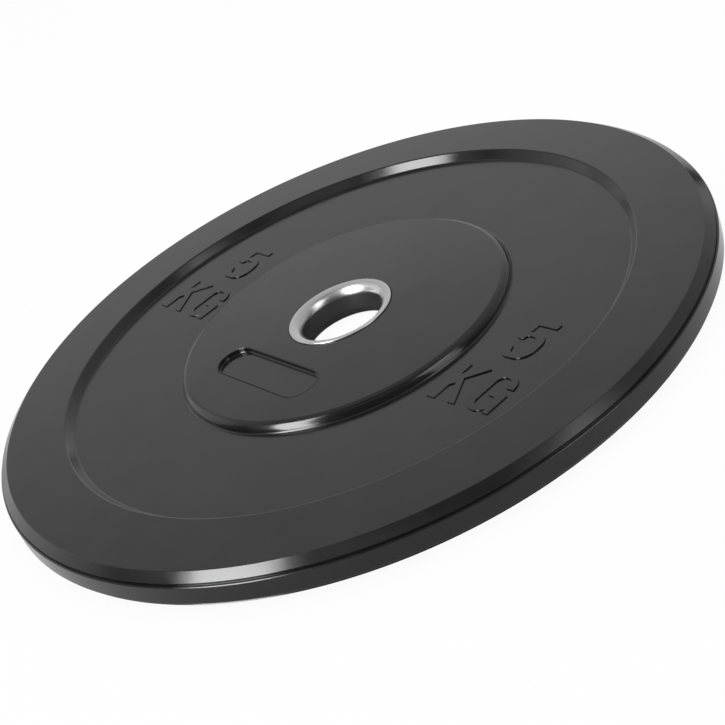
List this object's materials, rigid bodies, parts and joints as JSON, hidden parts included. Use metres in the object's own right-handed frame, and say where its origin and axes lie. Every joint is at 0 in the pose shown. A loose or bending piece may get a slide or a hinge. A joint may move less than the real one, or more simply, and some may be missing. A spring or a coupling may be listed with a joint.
{
  "type": "bumper plate",
  "caption": "Thin moulded rubber weight plate with a thick rim, dished web, recessed hub with a blank pocket, and a rounded steel sleeve for an Olympic bar.",
  "frame": {"origin": "centre of the bore at the lower rim face, on which the plate lies", "axes": "+Z along the bore towards the front face, +X in the reading direction of that face, +Y towards its top"},
  "size_m": [0.45, 0.45, 0.022],
  "materials": {
    "moulded_rubber": "satin moulded",
    "polished_steel": "polished turned",
    "plated_steel": "zinc plated"
  },
  "bodies": {
    "root": {"rubber_disc": "moulded_rubber", "hub_sleeve": "polished_steel", "anchor_flange": "plated_steel"}
  },
  "joints": []
}
